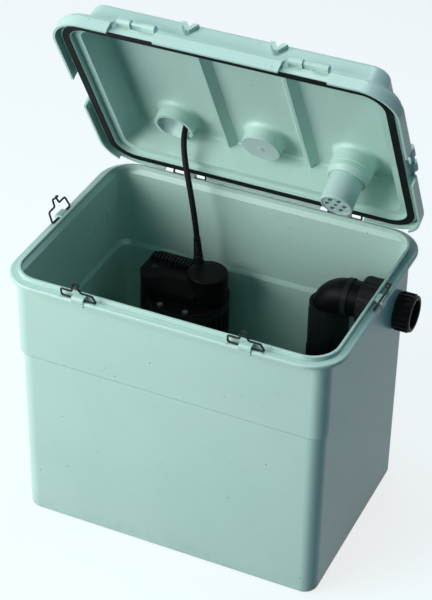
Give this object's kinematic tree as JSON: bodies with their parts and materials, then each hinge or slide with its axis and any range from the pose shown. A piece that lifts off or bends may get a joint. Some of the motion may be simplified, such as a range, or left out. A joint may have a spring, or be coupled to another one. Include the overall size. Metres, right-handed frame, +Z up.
{
  "type": "wastewater lifting station",
  "caption": "Above-floor wastewater lifting station: plastic tank with hinged clip-down lid, pump with float switch, check valve and union outlet.",
  "frame": {"origin": "on the floor, under the middle of the tank's rim", "axes": "+X to the right along the front, towards the outlet; +Y to the back, towards the lid's hinge; +Z up"},
  "size_m": [0.4966, 0.4752, 0.7206],
  "materials": {
    "mint_plastic": "matte moulded",
    "black_rubber": "matte",
    "cord_rubber": "matte",
    "grey_plastic": "matte",
    "carbon_filter": "granular",
    "clip_steel": "dull drawn wire",
    "steel": "machined",
    "cast_aluminium": "cast",
    "nickel_brass": "nickel plated",
    "black_plastic": "satin moulded",
    "pipe_black": "satin moulded"
  },
  "bodies": {
    "tank": {"tank": "mint_plastic", "bulkhead_gasket": "black_rubber", "shaft_seal": "black_rubber", "power_cord": "cord_rubber", "cord_coil": "cord_rubber", "plug_boot": "cord_rubber", "mains_plug": "cord_rubber", "plug_pins": "nickel_brass", "cover_screws": "steel", "lower_bearing": "steel", "upper_bearing": "steel", "stator": "steel", "bearing_bracket": "cast_aluminium", "float_rod": "steel", "level_switch": "black_plastic", "motor_capacitor": "grey_plastic", "valve_seat": "pipe_black", "check_valve_body": "pipe_black", "discharge_bend": "pipe_black", "delivery_pipe": "pipe_black", "foot_elbow": "pipe_black", "riser_pipe": "pipe_black", "bulkhead_fitting": "pipe_black", "strainer_base": "black_plastic", "pump_casing": "black_plastic", "motor_housing": "black_plastic", "top_cover": "black_plastic", "cable_gland": "black_plastic"},
    "lid": {"lid": "mint_plastic", "lid_seal": "black_rubber", "blanking_plug": "grey_plastic", "vent_tube": "grey_plastic", "vent_grille": "grey_plastic", "vent_cartridge": "carbon_filter"},
    "front_left_clip": {"front_left_clip": "clip_steel"},
    "front_right_clip": {"front_right_clip": "clip_steel"},
    "left_clip": {"left_clip": "clip_steel"},
    "right_clip": {"right_clip": "clip_steel"},
    "rear_left_clip": {"rear_left_clip": "clip_steel"},
    "rear_right_clip": {"rear_right_clip": "clip_steel"},
    "rotor": {"rotor": "steel", "shaft": "steel", "impeller": "black_plastic", "impeller_nut": "steel"},
    "float": {"float": "grey_plastic"},
    "valve_flap": {"valve_flap": "black_rubber"},
    "outlet_nut": {"outlet_nut": "pipe_black"},
    "inner_union_nut": {"inner_union_nut": "pipe_black"}
  },
  "joints": [
    {"name": "lid_hinge", "type": "hinge", "parent": "tank", "child": "lid", "pos_m": [0, 0.1677, 0.4225], "axis": [-1, 0, 0], "range_deg": [-61, 30], "deforming": ["power_cord"]},
    {"name": "front_left_clip_hinge", "type": "hinge", "parent": "tank", "child": "front_left_clip", "pos_m": [-0.1185, -0.1677, 0.4004], "axis": [1, 0, 0], "range_deg": [-13.24, 64]},
    {"name": "front_right_clip_hinge", "type": "hinge", "parent": "tank", "child": "front_right_clip", "pos_m": [0.1185, -0.1677, 0.4004], "axis": [1, 0, 0], "range_deg": [-13.24, 64]},
    {"name": "left_clip_hinge", "type": "hinge", "parent": "tank", "child": "left_clip", "pos_m": [-0.2349, 0, 0.4004], "axis": [0, -1, 0], "range_deg": [-13.24, 64]},
    {"name": "right_clip_hinge", "type": "hinge", "parent": "tank", "child": "right_clip", "pos_m": [0.2349, 0, 0.4004], "axis": [0, 1, 0], "range_deg": [-13.24, 64]},
    {"name": "rear_left_clip_hinge", "type": "hinge", "parent": "tank", "child": "rear_left_clip", "pos_m": [-0.1185, 0.1677, 0.4004], "axis": [-1, 0, 0], "range_deg": [0, 77.24]},
    {"name": "rear_right_clip_hinge", "type": "hinge", "parent": "tank", "child": "rear_right_clip", "pos_m": [0.1185, 0.1677, 0.4004], "axis": [-1, 0, 0], "range_deg": [0, 77.24]},
    {"name": "rotor_spin", "type": "hinge", "parent": "tank", "child": "rotor", "pos_m": [-0.052, 0.088, 0.1], "axis": [0, 0, 1], "continuous": true},
    {"name": "float_slide", "type": "slide", "parent": "tank", "child": "float", "axis": [0, 0, 1], "range_m": [0, 0.08]},
    {"name": "flap_hinge", "type": "hinge", "parent": "tank", "child": "valve_flap", "pos_m": [0.1255, 0.129, 0.2266], "axis": [-1, 0, 0], "range_deg": [0, 70]},
    {"name": "outlet_nut_turn", "type": "hinge", "parent": "tank", "child": "outlet_nut", "pos_m": [0.237, 0.108, 0.313], "axis": [1, 0, 0], "continuous": true},
    {"name": "inner_union_nut_turn", "type": "hinge", "parent": "tank", "child": "inner_union_nut", "pos_m": [0.19, 0.108, 0.313], "axis": [1, 0, 0], "continuous": true}
  ]
}
